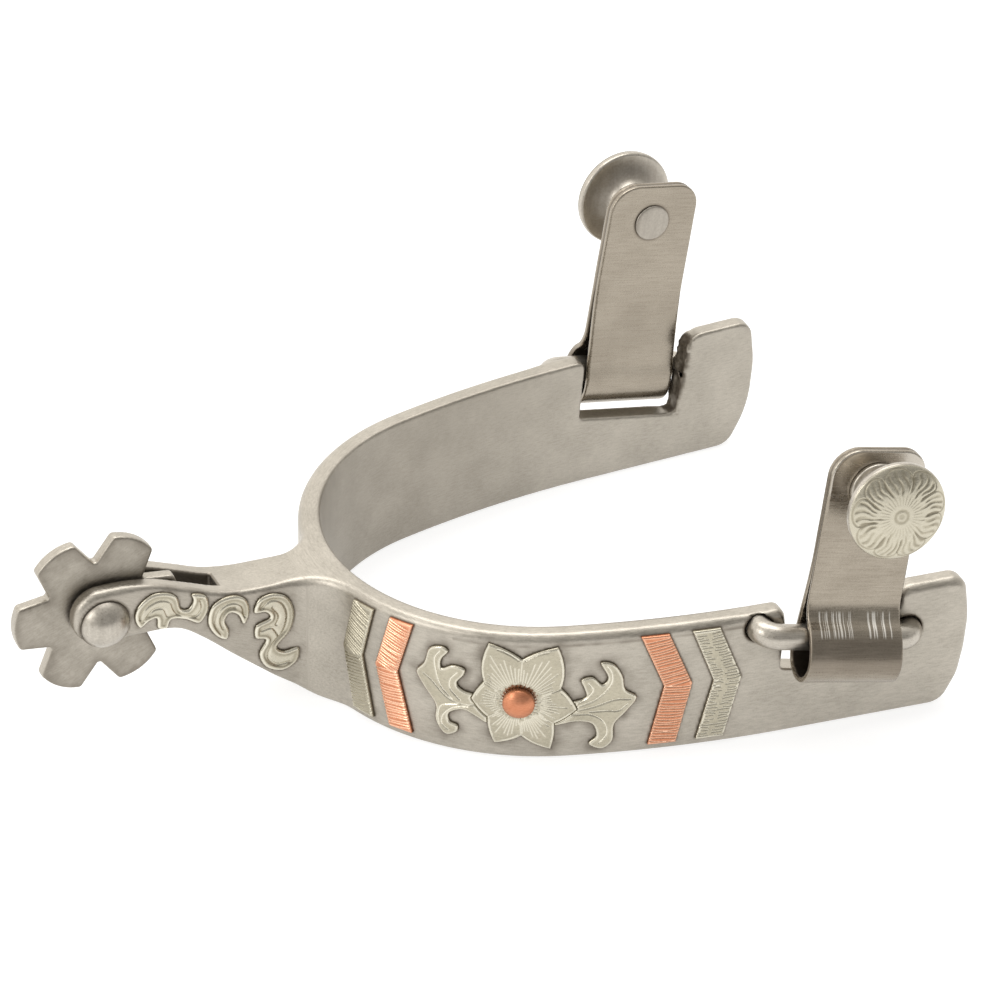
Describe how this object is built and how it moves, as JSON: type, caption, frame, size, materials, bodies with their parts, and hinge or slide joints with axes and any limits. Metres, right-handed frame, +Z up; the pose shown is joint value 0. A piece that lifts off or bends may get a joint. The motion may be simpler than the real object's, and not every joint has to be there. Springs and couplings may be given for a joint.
{
  "type": "western spur",
  "caption": "Right-hand western spur: heel band with a forked shank, a spinning star rowel, brazed floral overlays and hinged strap hangers with domed buttons.",
  "frame": {"origin": "on the band's bottom edge, in the middle of its thickness at the back of the heel", "axes": "+X from the heel towards the toe, +Y to the inner (plain) branch, +Z up"},
  "size_m": [0.1649, 0.1293, 0.0582],
  "materials": {
    "satin_steel": "satin brushed stainless steel",
    "bright_steel": "brushed and lightly polished stainless steel",
    "german_silver": "engraved German silver",
    "copper": "engraved copper"
  },
  "bodies": {
    "spur_frame": {"heel_band": "satin_steel", "shank": "satin_steel", "rowel_pin": "bright_steel", "right_hinge_staple": "bright_steel", "left_hinge_staple": "bright_steel", "silver_chevron_rear": "german_silver", "silver_chevron_front": "german_silver", "flower": "german_silver", "leaf_spray_rear": "german_silver", "leaf_spray_front": "german_silver", "shank_scroll_rear": "german_silver", "shank_scroll_middle": "german_silver", "shank_scroll_front": "german_silver", "copper_chevron_rear": "copper", "copper_chevron_front": "copper", "flower_centre": "copper"},
    "rowel_wheel": {"rowel": "satin_steel"},
    "right_strap_hanger": {"right_hanger": "bright_steel"},
    "left_strap_hanger": {"left_hanger": "bright_steel"},
    "right_strap_button": {"right_button": "bright_steel", "right_button_cap": "german_silver"},
    "left_strap_button": {"left_button": "bright_steel", "left_button_cap": "german_silver"}
  },
  "joints": [
    {"name": "rowel_spin", "type": "hinge", "parent": "spur_frame", "child": "rowel_wheel", "pos_m": [-0.0441, 0, 0.0244], "axis": [0, 1, 0], "continuous": true},
    {"name": "right_hanger_hinge", "type": "hinge", "parent": "spur_frame", "child": "right_strap_hanger", "pos_m": [0.07957, -0.05233, 0.0197], "axis": [0.9784, -0.0598, -0.1977], "range_deg": [-116, 189]},
    {"name": "left_hanger_hinge", "type": "hinge", "parent": "spur_frame", "child": "left_strap_hanger", "pos_m": [0.07957, 0.05233, 0.0185], "axis": [-0.9784, -0.0598, 0.1977], "range_deg": [-116, 180]},
    {"name": "right_button_spin", "type": "hinge", "parent": "right_strap_hanger", "child": "right_strap_button", "pos_m": [0.0861, -0.04908, 0.048], "axis": [-0.0422, -0.9948, 0.0923], "continuous": true},
    {"name": "left_button_spin", "type": "hinge", "parent": "left_strap_hanger", "child": "left_strap_button", "pos_m": [0.0859, 0.05314, 0.04822], "axis": [-0.0699, 0.9966, -0.0445], "continuous": true}
  ]
}
